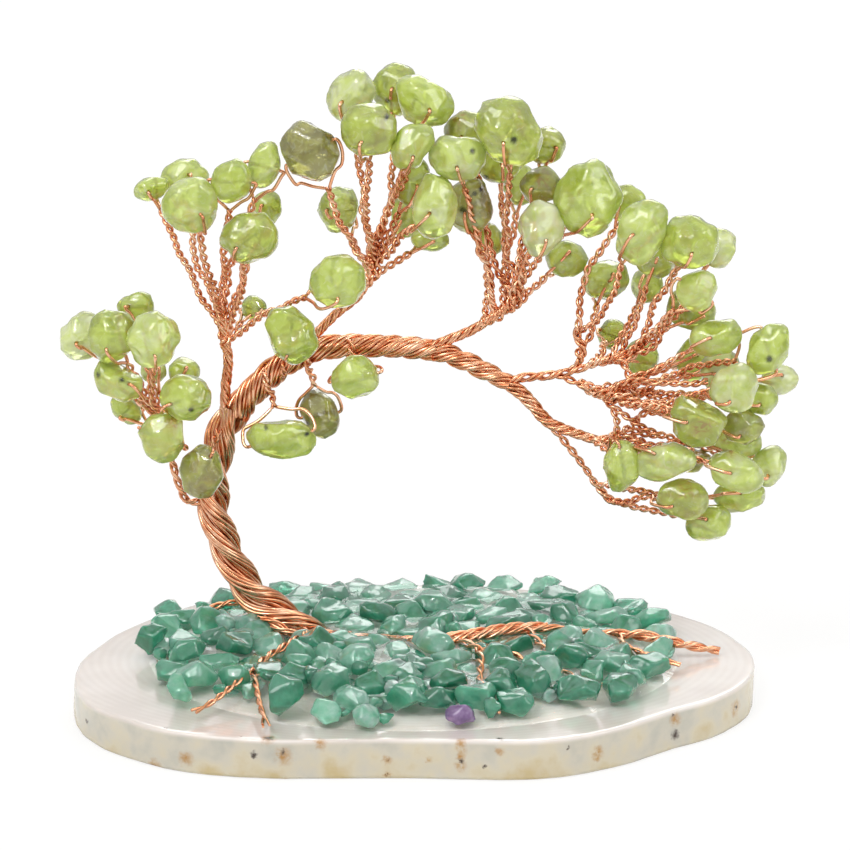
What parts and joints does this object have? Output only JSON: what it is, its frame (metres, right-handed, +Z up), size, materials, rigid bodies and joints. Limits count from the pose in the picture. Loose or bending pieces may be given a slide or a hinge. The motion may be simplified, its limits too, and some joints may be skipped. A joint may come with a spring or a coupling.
{
  "type": "gemstone tree ornament",
  "caption": "Bonsai ornament of twisted copper wire with drilled peridot stones for leaves, rooted in clear resin and green stone chips on a natural agate slice.",
  "frame": {"origin": "middle of the agate slice's flat underside", "axes": "+Z up the tree, +X along the slice to the tree's right as seen from the front, +Y to the back"},
  "size_m": [0.1034, 0.0652, 0.0906],
  "materials": {
    "agate": "polished",
    "clear_resin": "glossy",
    "copper": "bright drawn wire",
    "peridot": "tumbled, translucent",
    "aventurine": "tumbled",
    "amethyst": "tumbled"
  },
  "bodies": {
    "tree": {"agate_slice": "agate", "resin_bed": "clear_resin", "trunk": "copper", "main_bough": "copper", "outer_bough": "copper", "right_low_branch": "copper", "left_branch": "copper", "left_low_branch": "copper", "top_branch": "copper", "upper_right_branch": "copper", "right_top_branch": "copper", "crown_branch": "copper", "right_mid_branch": "copper", "right_hanging_branch": "copper", "left_low_twigs": "copper", "left_low_stones": "peridot", "left_top_twigs": "copper", "left_top_stones": "peridot", "top_twigs": "copper", "top_stones": "peridot", "upper_right_twigs": "copper", "upper_right_stones": "peridot", "crown_twigs": "copper", "crown_stones": "peridot", "right_top_twigs": "copper", "right_top_stones": "peridot", "right_mid_twigs": "copper", "right_mid_stones": "peridot", "right_low_twigs": "copper", "right_low_stones": "peridot", "teardrop_twig": "copper", "big_round_twig": "copper", "front_twig": "copper", "hanging_long_twig": "copper", "hanging_grey_twig": "copper", "slanted_twig": "copper", "slanted_stone": "peridot", "right_root": "copper", "far_right_root": "copper", "front_root": "copper", "side_root": "copper", "centre_root": "copper", "back_root": "copper", "short_roots": "copper", "amethyst_chip": "amethyst", "back_left_chips": "aventurine", "front_left_chips": "aventurine", "front_right_chips": "aventurine", "back_right_chips": "aventurine"},
    "olive_stone": {"olive_stone": "peridot"},
    "left_crown_stone": {"left_crown_stone": "peridot"},
    "left_tip_stone": {"left_tip_stone": "peridot"},
    "heart_loop_stone": {"heart_loop_stone": "peridot"},
    "right_tip_stone": {"right_tip_stone": "peridot"},
    "teardrop_stone": {"teardrop_stone": "peridot"},
    "big_round_stone": {"big_round_stone": "peridot"},
    "front_stone": {"front_stone": "peridot"},
    "hanging_long_stone": {"hanging_long_stone": "peridot"},
    "hanging_grey_stone": {"hanging_grey_stone": "peridot"}
  },
  "joints": [
    {"name": "olive_swing", "type": "hinge", "parent": "tree", "child": "olive_stone", "pos_m": [-0.01411, 0.00006, 0.07976], "axis": [0.8786, 0, 0.4776], "range_deg": [-40, 40]},
    {"name": "left_crown_swing", "type": "hinge", "parent": "tree", "child": "left_crown_stone", "pos_m": [-0.02496, -0.00106, 0.07588], "axis": [0.9965, 0, -0.0831], "range_deg": [-20, 20]},
    {"name": "left_tip_swing", "type": "hinge", "parent": "tree", "child": "left_tip_stone", "pos_m": [-0.02061, 0.00202, 0.07723], "axis": [0.9586, 0, -0.2847], "range_deg": [-20, 20]},
    {"name": "heart_loop_swing", "type": "hinge", "parent": "tree", "child": "heart_loop_stone", "pos_m": [0.039, -0.00302, 0.06081], "axis": [0.809, 0, -0.5878], "range_deg": [-40, 40]},
    {"name": "right_tip_swing", "type": "hinge", "parent": "tree", "child": "right_tip_stone", "pos_m": [0.04946, -0.00101, 0.05181], "axis": [0.3106, -0.3381, -0.8884], "range_deg": [-40, 40]},
    {"name": "teardrop_swing", "type": "hinge", "parent": "tree", "child": "teardrop_stone", "pos_m": [-0.0296, -0.00237, 0.03441], "axis": [0.393, -0.4389, 0.8081], "range_deg": [-40, 40]},
    {"name": "big_round_swing", "type": "hinge", "parent": "tree", "child": "big_round_stone", "pos_m": [-0.01053, -0.00203, 0.06185], "axis": [0.0438, -0.8245, -0.5641], "range_deg": [-40, 40]},
    {"name": "front_swing", "type": "hinge", "parent": "tree", "child": "front_stone", "pos_m": [-0.00802, -0.00254, 0.0482], "axis": [-0.9775, 0, -0.2109], "range_deg": [-40, 40]},
    {"name": "hanging_long_swing", "type": "hinge", "parent": "tree", "child": "hanging_long_stone", "pos_m": [-0.01859, -0.00051, 0.03864], "axis": [-0.9666, 0, -0.2564], "range_deg": [-40, 40]},
    {"name": "hanging_grey_swing", "type": "hinge", "parent": "tree", "child": "hanging_grey_stone", "pos_m": [-0.01322, 0.00549, 0.04028], "axis": [-0.9865, 0, -0.1639], "range_deg": [-40, 40]}
  ]
}
